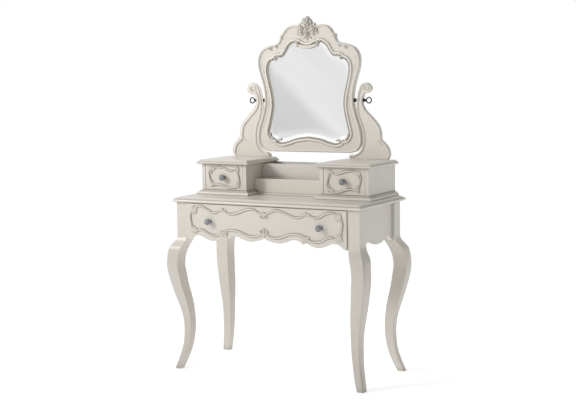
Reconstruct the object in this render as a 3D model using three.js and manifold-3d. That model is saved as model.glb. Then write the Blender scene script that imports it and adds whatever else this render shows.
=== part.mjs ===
// Vanity table with drawers, a small hutch and a tilting mirror.
// Millimetres, +X to the sitter's right, +Y to the back, +Z up.
// Origin: on the floor, in the middle of the four posts.

import * as THREE from 'three';
import { mergeVertices } from 'three/addons/utils/BufferGeometryUtils.js';
import Module from 'manifold-3d';

// ---- driving dimensions -------------------------------------------------

const GAP = 0.3;                  // clearance between pieces that meet

// table
const POST_X = 447.6;             // outer face of a post, from the middle
const POST_Y = 193.8;
const POST_SIZE = 56.5;
const TOP_UNDER = 741;
const TOP_Z = 765;
const TOP_X = 460.3;              // tip of the edge moulding
const TOP_FRONT = -210.9;
const TOP_BACK = 229.9;
const APRON_RECESS = 12;
const APRON_THICK = 18;
const BACK_APRON_BOTTOM = 600;

// wide drawer
const WIDE_FRONT_Y = -199.5;
const WIDE_FRONT_THICK = 20;
const WIDE_FRONT_HALF = POST_X - POST_SIZE - 0.9;
const WIDE_FRONT_TOP = TOP_UNDER - 1.5;
const WIDE_SIDE_OUT = 370;
const WIDE_SIDE_THICK = 12;
const WIDE_SIDE_BOTTOM = 612.6;
const WIDE_SIDE_TOP = 712;
const WIDE_BACK_Y = 150;
const WIDE_KNOB_X = 271;
const WIDE_KNOB_Z = 664;
const RUNNER_HEIGHT = 16;

// hutch
const HUTCH_FRONT = -39;
const HUTCH_REAR = 217;
const HUTCH_OUT = 414;            // outer face of a pedestal
const HUTCH_IN = 182;             // face of a pedestal towards the middle
const SIDE_THICK = 18;
const OVERHANG = 19;              // slabs and base boards past the pedestal
const BASE_TOP = 784.5;
const SLAB_UNDER = 897.3;
const SLAB_TOP = 918;
const BACK_THICK = 6;

// bins between the pedestals
const BIN_WALL = 10;
const LOW_BIN_Y = 28;
const LOW_BIN_TOP = 835;
const HIGH_BIN_Y = 101;
const HIGH_BIN_TOP = 895;
const BIN_FLOOR_Y = 22;
const BIN_FLOOR_TOP = 773.5;

// small drawers, one in each pedestal
const SMALL_CLEAR = 0.8;
const SMALL_FRONT_THICK = 16;
const SMALL_SIDE_THICK = 10;
const SMALL_SIDE_TOP = 880;
const SMALL_BACK_Y = 172;
const SMALL_MIDDLE = (HUTCH_OUT + HUTCH_IN) / 2;
const SMALL_KNOB_Z = 841;

// mirror
const PIVOT_Z = 1173;
const PIVOT_Y = 209.5;
const FRAME_FRONT = 201;
const FRAME_BACK = 219;
const SUPPORT_FRONT = 202.5;
const SUPPORT_BACK = 216.5;
const REBATE = 8;                 // glass and opening past the sight edge
const SCREW_RADIUS = 4.2;
const SCREW_HOLE = 4.6;
const RING_MIDDLE_X = 295.5;
const RING_RADIUS = 12;
const RING_WIRE = 2.6;
const COLLAR_RADIUS = 8;
const BARREL_RADIUS = 6;

// ---- outlines: control points of the right half, x then z ---------------

// outward offset of the leg's two faces from the post's outer face, by height
const LEG_OUTER = [[0, 592], [7, 574], [21, 555], [32, 533], [38.3, 473], [33, 420], [19, 352],
  [2, 284], [-8, 236], [-12, 188], [-10.5, 140], [-6, 96], [4, 54], [20, 0]];
const LEG_INNER = [[-56.5, 590], [-51, 574], [-40, 551], [-27.5, 512], [-23, 468], [-27, 428],
  [-34, 372], [-45.4, 304], [-51, 248], [-52.5, 190], [-49, 140], [-40, 86], [-26, 38], [-12, 0]];

const FRONT_SCALLOP = [
  [[0, 606], [22, 596], [66, 588], [100, 593], [128, 604], [150, 607], [170, 602], [188, 590]],
  [[188, 590], [194, 597], [201, 599]],
  [[201, 599], [225, 587], [258, 580], [288, 586], [316, 598], [338, 601], [358, 595], [378, 580]]];

const SIDE_SCALLOP = [
  [[0, 581], [35, 584], [62, 593], [88, 601], [108, 598], [126, 585], [137, 578]]];

const FRAME_OUTLINE = [
  [[208, 943], [238, 951], [258, 974], [263.5, 1005], [255, 1055], [236, 1110], [224, 1165],
    [227, 1220], [243, 1278], [257, 1325], [254, 1370], [233, 1402], [195, 1418], [157, 1426]],
  [[157, 1426], [145, 1434], [140, 1446], [141, 1458], [134, 1466]],
  [[134, 1466], [126, 1468], [121, 1480], [102, 1498], [72, 1506], [43, 1501], [0, 1497]]];

const SIGHT_OUTLINE = [
  [[0, 1013], [60, 1005], [102, 992], [135, 985], [158, 990]],
  [[158, 990], [170, 1001], [188, 1005], [197, 1018]],
  [[197, 1018], [200, 1032], [190, 1072], [177, 1130], [175, 1165], [180, 1205], [194, 1262],
    [202, 1310], [193, 1342], [172, 1354]],
  [[172, 1354], [158, 1364], [143, 1364]],
  [[143, 1364], [124, 1368], [106, 1390], [90, 1414], [66, 1427], [45, 1423], [20, 1411], [0, 1408]]];

const SUPPORT_OUTLINE = [
  [[387, 918.3], [398, 936], [390, 968], [372, 990], [356, 1004]],
  [[356, 1004], [356, 1025], [346, 1062], [314, 1100], [282, 1131], [268, 1158], [269, 1182], [277, 1203]],
  [[277, 1203], [292, 1204], [308, 1213], [312, 1226], [303, 1242], [284, 1250], [262, 1241], [249, 1215],
    [241, 1180], [238, 1142], [247, 1095], [264, 1052], [270, 1010], [266, 975], [252, 951], [228, 937],
    [209, 935]],
  [[209, 935], [201, 927], [203, 918.3]]];

// middle line of the applied moulding on the wide drawer's front
const WIDE_MOULDING = [
  [[0, 706], [22, 713], [48, 725], [72, 726], [104, 717], [150, 702], [184, 706], [205, 720], [232, 708],
    [256, 704], [278, 714], [306, 727], [334, 727], [358, 714], [371, 690], [367, 655], [362, 632],
    [345, 617], [325, 627], [306, 625], [275, 610], [244, 604], [212, 612], [196, 624], [170, 631],
    [132, 630], [104, 622], [76, 612], [46, 611], [20, 618], [0, 630]]];

// middle line of the applied moulding on a small drawer's front
const SMALL_MOULDING = [
  [[228, 884], [243, 877], [258, 872], [280, 875], [300, 882], [320, 886], [345, 885], [364, 880],
    [377, 865], [372, 838], [366, 816], [358, 804], [342, 808], [320, 809], [297, 803], [275, 796],
    [250, 796], [230, 801], [219, 812], [218, 830], [222, 848], [225, 866], [228, 884]]];
const MOULDING_WIDTH = 7;
const MOULDING_PROUD = 5;

// edge profiles: distance in from the tip, and height
const TOP_EDGE = [[12.7, 741], [5, 743], [1, 746.5], [0, 750.5], [2.5, 754], [9, 757.5], [16, 762.5], [22, 765]];
const SLAB_EDGE = [[17, 897.3], [8, 898.5], [2, 901], [0, 904.5], [3, 908], [8, 911], [13, 916], [17, 918]];
const BASE_EDGE = [[0.5, 765.3], [0, 770], [2, 774], [8, 777], [14, 782.5], [17, 784.5]];

// ---- materials ----------------------------------------------------------

const paint = (shade = 0xe4ded6) =>
  new THREE.MeshStandardMaterial({ color: shade, roughness: 0.5, metalness: 0 });
const bareWood = () => new THREE.MeshStandardMaterial({ color: 0xc9ac83, roughness: 0.7, metalness: 0 });
const pewter = () => new THREE.MeshStandardMaterial({ color: 0x77777b, roughness: 0.35, metalness: 1 });
const blackIron = () => new THREE.MeshStandardMaterial({ color: 0x161616, roughness: 0.4, metalness: 1 });
const silvered = () => new THREE.MeshStandardMaterial({ color: 0xe9eced, roughness: 0.03, metalness: 1 });

// ---- solid helpers ------------------------------------------------------

const wasm = await Module();
wasm.setup();

function toSolid(geometry) {
  const plain = geometry.clone();
  plain.deleteAttribute('normal');
  plain.deleteAttribute('uv');
  const merged = mergeVertices(plain, 1e-3);
  return new wasm.Manifold(new wasm.Mesh({
    numProp: 3,
    vertProperties: merged.attributes.position.array,
    triVerts: Uint32Array.from(merged.index.array),
  }));
}

function toGeometry(solid) {
  const mesh = solid.getMesh();
  const geometry = new THREE.BufferGeometry();
  geometry.setAttribute('position', new THREE.BufferAttribute(mesh.vertProperties, 3));
  geometry.setIndex(new THREE.BufferAttribute(mesh.triVerts, 1));
  geometry.computeVertexNormals();
  return geometry;
}

function intersect(a, b) {
  return toGeometry(toSolid(a).intersect(toSolid(b)));
}

function subtract(a, b) {
  return toGeometry(toSolid(a).subtract(toSolid(b)));
}

function join(pieces) {
  return toGeometry(pieces.map(toSolid).reduce((sum, next) => sum.add(next)));
}

// Catmull-Rom points through each run; runs meet at sharp corners.
function smoothRuns(runs, perSpan) {
  const points = [];
  for (const run of runs) {
    const curve = new THREE.SplineCurve(run.map(([x, z]) => new THREE.Vector2(x, z)));
    const sampled = curve.getPoints((run.length - 1) * perSpan);
    points.push(...(points.length ? sampled.slice(1) : sampled));
  }
  return points;
}

// Closes a right half on its mirror image; end points on the axis aren't doubled.
function withMirrorImage(half) {
  const left = half.map((p) => new THREE.Vector2(-p.x, p.y)).reverse();
  return [...half, ...left.filter((p) => p.x < -1e-6)];
}

// Moves every point of a closed anticlockwise loop outwards.
function offsetLoop(loop, distance) {
  const turn = THREE.ShapeUtils.isClockWise(loop) ? -1 : 1;
  return loop.map((point, i) => {
    const before = loop[(i + loop.length - 1) % loop.length];
    const after = loop[(i + 1) % loop.length];
    const along = after.clone().sub(before).normalize();
    return new THREE.Vector2(point.x + turn * along.y * distance, point.y - turn * along.x * distance);
  });
}

// A hole may run either way round, as long as the outline runs anticlockwise.
function outlineShape(loop, hole) {
  const shape = new THREE.Shape(THREE.ShapeUtils.isClockWise(loop) ? [...loop].reverse() : loop);
  if (hole) {
    shape.holes.push(new THREE.Path(hole));
  }
  return shape;
}

function extruded(shape, depth) {
  return new THREE.ExtrudeGeometry(shape, { depth, bevelEnabled: false, curveSegments: 12 });
}

// An outline in x and z, from yFront back to yBack.
function plateXZ(shape, yFront, yBack) {
  return extruded(shape, yBack - yFront).rotateX(Math.PI / 2).translate(0, yBack, 0);
}

// An outline in y and z, from xLeft to xRight.
function plateYZ(shape, xLeft, xRight) {
  const turn = new THREE.Matrix4().makeBasis(
    new THREE.Vector3(0, 1, 0), new THREE.Vector3(0, 0, 1), new THREE.Vector3(1, 0, 0));
  return extruded(shape, xRight - xLeft).applyMatrix4(turn).translate(xLeft, 0, 0);
}

// A closed cross-section with a moulded edge at both ends, or at its low end only.
function edgeSection(low, high, edge, mouldHigh = true) {
  const lowSide = edge.map(([inset, z]) => new THREE.Vector2(low + inset, z));
  const highSide = edge.map(([inset, z]) => new THREE.Vector2(high - (mouldHigh ? inset : 0), z));
  return new THREE.Shape([...lowSide, ...highSide.reverse()]);
}

// A slab whose moulded edges meet in mitres.
function mouldedSlab(x0, x1, y0, y1, edge, mouldBack) {
  const across = plateXZ(edgeSection(x0, x1, edge), y0 - 1, y1 + 1);
  const along = plateYZ(edgeSection(y0, y1, edge, mouldBack), x0 - 1, x1 + 1);
  return intersect(across, along);
}

function rodX(radius, x0, x1, y, z, sides = 18) {
  return new THREE.CylinderGeometry(radius, radius, x1 - x0, sides)
    .rotateZ(Math.PI / 2).translate((x0 + x1) / 2, y, z);
}

// ---- scene graph --------------------------------------------------------

const vanity = new THREE.Group();

function add(name, geometry, material, x = 0, y = 0, z = 0) {
  const mesh = new THREE.Mesh(geometry, material);
  mesh.name = name;
  mesh.position.set(x, y, z);
  vanity.add(mesh);
}

function addBoard(name, material, [x0, x1], [y0, y1], [z0, z1]) {
  const box = new THREE.BoxGeometry(x1 - x0, y1 - y0, z1 - z0);
  add(name, box, material, (x0 + x1) / 2, (y0 + y1) / 2, (z0 + z1) / 2);
}

// the same range on the left (side -1) or the right (side +1)
function onSide(side, a, b) {
  return side < 0 ? [-b, -a] : [a, b];
}

const SIDES = [['left', -1], ['right', 1]];

// ---- table --------------------------------------------------------------

function legShape(postFace, direction) {
  const outer = [[0, TOP_UNDER - GAP], ...LEG_OUTER];
  const inner = [[-POST_SIZE, TOP_UNDER - GAP], ...LEG_INNER];
  const run = (points) => {
    const straight = new THREE.Vector2(...points[0]);
    return [straight, ...smoothRuns([points.slice(1)], 2)];
  };
  const loop = [...run(outer), ...run(inner).reverse()];
  return new THREE.Shape(loop.map((p) => new THREE.Vector2(direction * (postFace + p.x), p.y)));
}

function addLegs() {
  const reach = 60;
  for (const [end, sy] of [['front', -1], ['rear', 1]]) {
    for (const [hand, sx] of SIDES) {
      const [y0, y1] = onSide(sy, POST_Y - POST_SIZE - reach, POST_Y + reach);
      const [x0, x1] = onSide(sx, POST_X - POST_SIZE - reach, POST_X + reach);
      const seenFromFront = plateXZ(legShape(POST_X, sx), y0, y1);
      const seenFromSide = plateYZ(legShape(POST_Y, sy), x0, x1);
      add(`leg_${end}_${hand}`, intersect(seenFromFront, seenFromSide), paint());
    }
  }
}

function addAprons() {
  const postInner = POST_Y - POST_SIZE - GAP;
  const half = smoothRuns(SIDE_SCALLOP, 2);
  const top = TOP_UNDER - GAP;
  const loop = withMirrorImage([...half, new THREE.Vector2(postInner, 578), new THREE.Vector2(postInner, top)]);
  for (const [hand, side] of SIDES) {
    const face = POST_X - APRON_RECESS;
    const [x0, x1] = onSide(side, face - APRON_THICK, face);
    add(`side_apron_${hand}`, plateYZ(outlineShape(loop), x0, x1), paint());
  }
  const between = POST_X - POST_SIZE - GAP;
  const backFace = POST_Y - APRON_RECESS;
  addBoard('back_apron', paint(), [-between, between], [backFace - APRON_THICK, backFace], [BACK_APRON_BOTTOM, top]);
  addBoard('front_top_rail', paint(), [-between, between],
    [WIDE_FRONT_Y + WIDE_FRONT_THICK + 1, -POST_Y + POST_SIZE], [TOP_UNDER - 20, top]);
  for (const [hand, side] of SIDES) {
    addBoard(`drawer_runner_${hand}`, bareWood(), onSide(side, WIDE_SIDE_OUT - 14, between),
      [WIDE_FRONT_Y + WIDE_FRONT_THICK + 1, backFace - APRON_THICK - GAP],
      [WIDE_SIDE_BOTTOM - GAP - RUNNER_HEIGHT, WIDE_SIDE_BOTTOM - GAP]);
  }
}

// ---- drawers ------------------------------------------------------------

// a closed band of the moulding's width about its middle line
function mouldingBand(middle, yFace) {
  const outer = offsetLoop(middle, MOULDING_WIDTH / 2);
  const inner = offsetLoop(middle, -MOULDING_WIDTH / 2);
  return plateXZ(outlineShape(outer, inner), yFace - GAP - MOULDING_PROUD, yFace - GAP);
}

// Round flange, neck and domed head, turned about an axis along y.
function addKnob(name, x, yFace, z) {
  const profile = [[0, 0], [10, 0], [10, 2], [5.5, 5], [5, 10], [9, 12.5], [13.5, 15.5], [14.5, 19],
    [12.5, 23], [7, 25.5], [0, 26.5]];
  const points = profile.map(([r, h]) => new THREE.Vector2(r, h));
  const knob = new THREE.LatheGeometry(points, 16).rotateX(Math.PI);
  add(name, knob, pewter(), x, yFace - GAP, z);
}

// two sides, a back and a bottom, behind a front whose rear face is at yRear
function addDrawerBox(name, middle, half, thick, [y0, y1], [z0, z1]) {
  const bottomZ = z0 + 4;
  const inner = half - thick - GAP;
  for (const [hand, side] of SIDES) {
    const [a, b] = onSide(side, half - thick, half);
    addBoard(`${name}_side_${hand}`, bareWood(), [middle + a, middle + b], [y0 + GAP, y1], [z0, z1]);
  }
  addBoard(`${name}_back`, bareWood(), [middle - inner, middle + inner], [y1 - thick, y1], [z0, z1]);
  addBoard(`${name}_bottom`, bareWood(), [middle - inner, middle + inner],
    [y0 + GAP, y1 - thick - GAP], [bottomZ, bottomZ + 6]);
}

function addWideDrawer() {
  const rear = WIDE_FRONT_Y + WIDE_FRONT_THICK;
  const half = [...smoothRuns(FRONT_SCALLOP, 3), new THREE.Vector2(WIDE_FRONT_HALF, 578),
    new THREE.Vector2(WIDE_FRONT_HALF, WIDE_FRONT_TOP)];
  add('wide_drawer_front', plateXZ(outlineShape(withMirrorImage(half)), WIDE_FRONT_Y, rear), paint());
  const middle = withMirrorImage(smoothRuns(WIDE_MOULDING, 2));
  add('wide_drawer_moulding', mouldingBand(middle, WIDE_FRONT_Y), paint(0xd8d2c6));
  addDrawerBox('wide_drawer', 0, WIDE_SIDE_OUT, WIDE_SIDE_THICK, [rear, WIDE_BACK_Y],
    [WIDE_SIDE_BOTTOM, WIDE_SIDE_TOP]);
  for (const [hand, side] of SIDES) {
    addKnob(`wide_drawer_knob_${hand}`, side * WIDE_KNOB_X, WIDE_FRONT_Y, WIDE_KNOB_Z);
  }
}

function addSmallDrawer(hand, side) {
  const name = `small_drawer_${hand}`;
  const half = (HUTCH_OUT - HUTCH_IN) / 2 - SIDE_THICK - SMALL_CLEAR;
  const front = HUTCH_FRONT + 1;
  const rear = front + SMALL_FRONT_THICK;
  const middle = side * SMALL_MIDDLE;
  addBoard(`${name}_front`, paint(), [middle - half, middle + half], [front, rear],
    [BASE_TOP + SMALL_CLEAR, SLAB_UNDER - SMALL_CLEAR]);
  const line = smoothRuns(SMALL_MOULDING, 2).slice(1).map((p) => new THREE.Vector2(side * p.x, p.y));
  add(`${name}_moulding`, mouldingBand(line, front), paint(0xd8d2c6));
  addDrawerBox(name, middle, half - 2, SMALL_SIDE_THICK, [rear, SMALL_BACK_Y],
    [BASE_TOP + SMALL_CLEAR, SMALL_SIDE_TOP]);
  addKnob(`${name}_knob`, middle, front, SMALL_KNOB_Z);
}

// ---- hutch --------------------------------------------------------------

// A board that is narrower below, where it stands between the base boards.
function steppedShape(wide, bottom, top) {
  const foot = HUTCH_IN - OVERHANG - GAP;
  const half = [[foot, bottom], [foot, BASE_TOP + GAP], [wide, BASE_TOP + GAP], [wide, top]];
  return outlineShape(withMirrorImage(half.map(([x, z]) => new THREE.Vector2(x, z))));
}

function addHutch() {
  const sideRear = HUTCH_REAR - BACK_THICK - GAP;
  const low = BASE_TOP + GAP;
  const high = SLAB_UNDER - GAP;
  for (const [hand, side] of SIDES) {
    const [x0, x1] = onSide(side, HUTCH_IN - OVERHANG, HUTCH_OUT + OVERHANG);
    const front = HUTCH_FRONT - OVERHANG;
    add(`hutch_base_${hand}`, mouldedSlab(x0, x1, front, HUTCH_REAR, BASE_EDGE, false), paint());
    add(`hutch_slab_${hand}`, mouldedSlab(x0, x1, front, HUTCH_REAR, SLAB_EDGE, false), paint());
    addBoard(`hutch_outer_side_${hand}`, paint(), onSide(side, HUTCH_OUT - SIDE_THICK, HUTCH_OUT),
      [HUTCH_FRONT, sideRear], [low, high]);
    addBoard(`hutch_inner_side_${hand}`, paint(), onSide(side, HUTCH_IN, HUTCH_IN + SIDE_THICK),
      [HUTCH_FRONT, sideRear], [low, high]);
  }
  add('hutch_back_panel', plateXZ(steppedShape(HUTCH_OUT, TOP_Z + GAP, high), HUTCH_REAR - BACK_THICK, HUTCH_REAR),
    paint());
}

function addBins() {
  const foot = HUTCH_IN - OVERHANG - GAP;
  addBoard('bin_floor', paint(), [-foot, foot], [BIN_FLOOR_Y, HUTCH_REAR - BACK_THICK - GAP],
    [TOP_Z + GAP, BIN_FLOOR_TOP]);
  for (const [name, front, top] of [['low', LOW_BIN_Y, LOW_BIN_TOP], ['high', HIGH_BIN_Y, HIGH_BIN_TOP]]) {
    const shape = steppedShape(HUTCH_IN - GAP, BIN_FLOOR_TOP + GAP, top);
    add(`bin_front_${name}`, plateXZ(shape, front, front + BIN_WALL), paint());
  }
}

// ---- mirror -------------------------------------------------------------

function addSupports() {
  const loop = smoothRuns(SUPPORT_OUTLINE, 2);
  for (const [hand, side] of SIDES) {
    const outline = loop.map((p) => new THREE.Vector2(side * p.x, p.y));
    const plate = plateXZ(outlineShape(outline), SUPPORT_FRONT, SUPPORT_BACK);
    const [x0, x1] = onSide(side, 230, 275);
    const hole = rodX(SCREW_HOLE, x0, x1, PIVOT_Y, PIVOT_Z);
    add(`mirror_support_${hand}`, subtract(plate, hole), paint());
  }
}

// A smooth shank with a collar and a ring to turn it by.
function addThumbscrews() {
  for (const [hand, side] of SIDES) {
    const ring = new THREE.TorusGeometry(RING_RADIUS, RING_WIRE, 6, 18)
      .rotateX(Math.PI / 2).translate(side * RING_MIDDLE_X, PIVOT_Y, PIVOT_Z);
    const parts = [
      rodX(SCREW_RADIUS, ...onSide(side, 214, 284.5), PIVOT_Y, PIVOT_Z),
      rodX(COLLAR_RADIUS, ...onSide(side, 270, 274), PIVOT_Y, PIVOT_Z),
      rodX(BARREL_RADIUS, ...onSide(side, 273, 283), PIVOT_Y, PIVOT_Z),
      ring,
    ];
    add(`thumbscrew_${hand}`, join(parts), blackIron());
    const bushRange = onSide(side, 225.5, 237);
    const bush = subtract(rodX(COLLAR_RADIUS, ...bushRange, PIVOT_Y, PIVOT_Z),
      rodX(SCREW_HOLE, ...onSide(side, 220, 245), PIVOT_Y, PIVOT_Z));
    add(`pivot_bush_${hand}`, bush, blackIron());
  }
}

function addMirror() {
  const outer = withMirrorImage(smoothRuns(FRAME_OUTLINE, 2));
  const sight = withMirrorImage(smoothRuns(SIGHT_OUTLINE, 2));
  const opening = offsetLoop(sight, REBATE);
  const board = plateXZ(outlineShape(outer, opening), FRAME_FRONT, FRAME_BACK);
  const holes = SIDES.map(([, side]) => rodX(SCREW_HOLE, ...onSide(side, 208, 240), PIVOT_Y, PIVOT_Z));
  add('mirror_frame', subtract(board, join(holes)), paint());

  const ridge = outlineShape(offsetLoop(sight, 18), sight);
  add('mirror_inner_moulding', plateXZ(ridge, FRAME_FRONT - GAP - 5, FRAME_FRONT - GAP), paint(0xd8d2c6));
  const paneLoop = offsetLoop(sight, REBATE - 1);
  add('mirror_glass', plateXZ(outlineShape(paneLoop), FRAME_FRONT + GAP, FRAME_FRONT + 5), silvered());
  add('mirror_backing', plateXZ(outlineShape(paneLoop), FRAME_FRONT + 5 + GAP, FRAME_BACK - 3), bareWood());
  add('mirror_back_cover', plateXZ(outlineShape(offsetLoop(sight, 20)), FRAME_BACK + GAP, FRAME_BACK + 5),
    bareWood());
}

// Carved roses and leaves, flat behind, standing on the frame's face.
function addCrown() {
  const back = FRAME_FRONT - GAP;
  const blob = (x, z, rx, ry, rz) =>
    new THREE.SphereGeometry(1, 12, 8).rotateX(Math.PI / 2).scale(rx, ry, rz).translate(x, back, z);
  const cluster = join([
    blob(0, 1516, 25, 21, 27), blob(-27, 1487, 19, 16, 17), blob(27, 1487, 19, 16, 17),
    blob(0, 1478, 20, 17, 19), blob(-46, 1484, 13, 8, 8), blob(46, 1484, 13, 8, 8), blob(0, 1449, 14, 9, 14),
  ]);
  const room = new THREE.BoxGeometry(200, 100, 200).translate(0, back - 50, 1490);
  add('crown_carving', intersect(cluster, room), paint(0xd8d2c6));
}

add('tabletop', mouldedSlab(-TOP_X, TOP_X, TOP_FRONT, TOP_BACK, TOP_EDGE, true), paint());
addLegs();
addAprons();
addWideDrawer();
addHutch();
addBins();
for (const [hand, side] of SIDES) {
  addSmallDrawer(hand, side);
}
addSupports();
addThumbscrews();
addMirror();
addCrown();

export default vanity;
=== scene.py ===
"""Vanity table with a small hutch and a tilting mirror: the visible pieces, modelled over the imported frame."""

import math

import bmesh
import bpy
from bpy.props import FloatProperty, FloatVectorProperty, PointerProperty
from bpy.types import Operator, Panel, PropertyGroup
from mathutils import Matrix, Vector


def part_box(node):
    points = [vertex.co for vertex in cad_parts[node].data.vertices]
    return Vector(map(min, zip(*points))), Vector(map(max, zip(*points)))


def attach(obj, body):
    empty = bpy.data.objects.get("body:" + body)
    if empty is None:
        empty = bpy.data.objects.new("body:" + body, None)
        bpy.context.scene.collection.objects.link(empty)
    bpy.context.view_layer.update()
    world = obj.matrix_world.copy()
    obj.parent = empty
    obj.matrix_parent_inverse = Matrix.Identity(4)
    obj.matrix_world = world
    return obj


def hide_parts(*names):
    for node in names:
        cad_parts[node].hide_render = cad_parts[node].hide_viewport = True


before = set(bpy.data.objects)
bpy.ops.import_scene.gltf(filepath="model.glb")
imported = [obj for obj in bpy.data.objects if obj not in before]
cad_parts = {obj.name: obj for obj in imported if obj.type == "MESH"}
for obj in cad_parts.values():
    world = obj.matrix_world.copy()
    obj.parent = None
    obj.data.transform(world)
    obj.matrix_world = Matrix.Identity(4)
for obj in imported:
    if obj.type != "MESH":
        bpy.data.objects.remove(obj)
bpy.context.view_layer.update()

bl_info = {
    "name": "Vanity table with mirror",
    "version": (1, 0, 0),
    "blender": (4, 5, 0),
    "location": "3D View > Sidebar > Vanity",
    "description": "Models the visible pieces of a painted vanity table over its frame",
    "category": "Object",
}

MM = 0.001
SIDES = (("left", -1), ("right", 1))

# The stage, in metres and degrees.
CAMERA_PLACE, CAMERA_LENS = (2.5762, -4.4547, 1.3081), 74.64
CAMERA_YAW, CAMERA_PITCH, CAMERA_ROLL = 30.0, 6.4, -0.9
KEY_PLACE, KEY_AIM = (-2.5, -2.5, 2.7), (-0.42, 0, 1.18)
KEY_WATTS, KEY_CONE, KEY_SOFTNESS = 395, 38, 0.6
FLOOR_RADIUS, FLOOR_GLOW = 9, 0.46
# Brightness of the room from its right side to its left, and across the soft bands that the mirror shows.
SKY_STOPS = ((0.0, 0.10), (0.22, 0.29), (0.46, 0.62), (0.66, 1.0))
REFLECTED_BANDS = ((0.0, 1.0), (0.18, 0.66), (0.34, 0.60), (0.5, 0.90), (0.66, 0.76), (0.82, 0.84), (1.0, 1.0))

# The legs, in millimetres: the gap beside the wide drawer, the post's width, how much further the posts
# stand out to the sides than to the front, and the heights where curve and foot meet the rest.
# Below the knee and towards the foot, painted shade darkens the leg.
DRAWER_GAP, POST_WIDTH, POST_OFFSET = 0.9, 56.5, 253.8
KNEE_TOP, EASE_LENGTH, FOOT_SHADE = 592.0, 60, 26

# Widths that edges are eased by, in metres, and the glaze that collects along an eased edge.
FINE_EDGE = {"width": 0.0008, "segments": 2}
THIN_EDGE = {"width": 0.001, "segments": 2}
EDGE_GLAZE = 0.16
# A carved stroke's foot goes this far into its ground, in millimetres, with this much glaze and painted shade.
ROOT_DEPTH, ROOT_GLAZE_AND_SHADE = 0.4, 0.15
# The mouldings round the glass stand this far in front of the frame's face.
SIGHT_LIFT = 2

# Sawn and carved outlines in millimetres: x from the middle, then height.
# A list of runs meets in sharp corners; each run is a smooth line through its points.
LEG_OUTER = [(0, 592), (7, 574), (21, 555), (32, 533), (38.3, 473), (33, 420), (19, 352), (2, 284),
             (-8, 236), (-12, 188), (-10.5, 140), (-6, 96), (4, 54), (20, 0)]
LEG_INNER = [(-56.5, 590), (-51, 574), (-40, 551), (-27.5, 512), (-23, 468), (-27, 428), (-34, 372),
             (-45.4, 304), (-51, 248), (-52.5, 190), (-49, 140), (-40, 86), (-26, 38), (-12, 0)]
FRAME_OUTLINE = [
    [(0, 943), (208, 943)],
    [(208, 943), (238, 951), (258, 974), (263.5, 1005), (255, 1055), (236, 1110), (224, 1165), (227, 1220),
     (243, 1278), (257, 1325), (254, 1370), (233, 1402), (195, 1418), (157, 1426)],
    [(157, 1426), (145, 1434), (140, 1446), (141, 1458), (134, 1466)],
    [(134, 1466), (126, 1468), (121, 1480), (102, 1498), (72, 1506), (43, 1501), (0, 1497)]]
SIGHT_OUTLINE = [
    [(0, 1013), (60, 1005), (102, 992), (135, 985), (158, 990)],
    [(158, 990), (170, 1001), (188, 1005), (197, 1018)],
    [(197, 1018), (200, 1032), (190, 1072), (177, 1130), (175, 1165), (180, 1205), (194, 1262), (202, 1310),
     (193, 1342), (172, 1354)],
    [(172, 1354), (158, 1364), (143, 1364)],
    [(143, 1364), (124, 1368), (106, 1390), (90, 1414), (66, 1427), (45, 1423), (20, 1411), (0, 1408)]]
GLASS_FLAT = [
    [(0, 1031), (60, 1023), (104, 1012), (140, 1008), (166, 1019), (178, 1040), (169, 1078), (157, 1130),
     (155, 1165), (160, 1205), (173, 1260), (181, 1305), (172, 1330), (146, 1342), (118, 1350), (96, 1372),
     (80, 1396), (62, 1407), (44, 1404), (22, 1392), (0, 1389)]]
SUPPORT_OUTLINE = [
    [(387, 918.3), (398, 936), (390, 968), (372, 990), (356, 1004)],
    [(356, 1004), (356, 1025), (346, 1062), (314, 1100), (282, 1131), (268, 1158), (269, 1182), (277, 1203)],
    [(277, 1203), (292, 1204), (308, 1213), (312, 1226), (303, 1242), (284, 1250), (262, 1241), (249, 1215),
     (241, 1180), (238, 1142), (247, 1095), (264, 1052), (270, 1010), (266, 975), (252, 951), (228, 937),
     (209, 935)],
    [(209, 935), (201, 927), (203, 918.3)]]
WIDE_MOULDING = [
    [(0, 706), (22, 713), (48, 725), (72, 726), (104, 717), (150, 702), (184, 706), (205, 720), (232, 708),
     (256, 704), (278, 714), (306, 727), (334, 727), (358, 714), (371, 690), (367, 655), (362, 632),
     (345, 617), (325, 627), (306, 625), (275, 610), (244, 604), (212, 612), (196, 624), (170, 631),
     (132, 630), (104, 622), (76, 612), (46, 611), (20, 618), (0, 630)]]
SMALL_MOULDING = [
    [(228, 884), (243, 877), (258, 872), (280, 875), (300, 882), (320, 886), (345, 885), (364, 880),
     (377, 865), (372, 838), (366, 816), (358, 804), (342, 808), (320, 809), (297, 803), (275, 796),
     (250, 796), (230, 801), (219, 812), (218, 830), (222, 848), (225, 866), (228, 884)]]

# Edge mouldings of the boards: distance in from the tip, height, and how much glaze and painted shade lies
# there; below nought, painted highlight.
TOP_EDGE = [(12.7, 741, .7), (5, 743, .4), (1, 746.5, .1), (0, 750.5, -.5), (2.5, 754, .3), (5.5, 756, .7),
            (9, 757.5, .3), (12.5, 759.8, 0), (16, 762.5, -.2), (19.5, 764.4, -.5), (22, 765, 0)]
SLAB_EDGE = [(17, 897.3, .6), (8, 898.5, .4), (2, 901, .15), (0, 904.5, -.5), (3, 908, .6), (8, 911, .25),
             (13, 916, 0), (15, 917.5, -.5), (17, 918, 0)]
BASE_EDGE = [(0.5, 765.3, .8), (0, 770, -.3), (2, 774, -.4), (8, 777, .5), (14, 782.5, .35), (17, 784.5, .5)]
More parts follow.
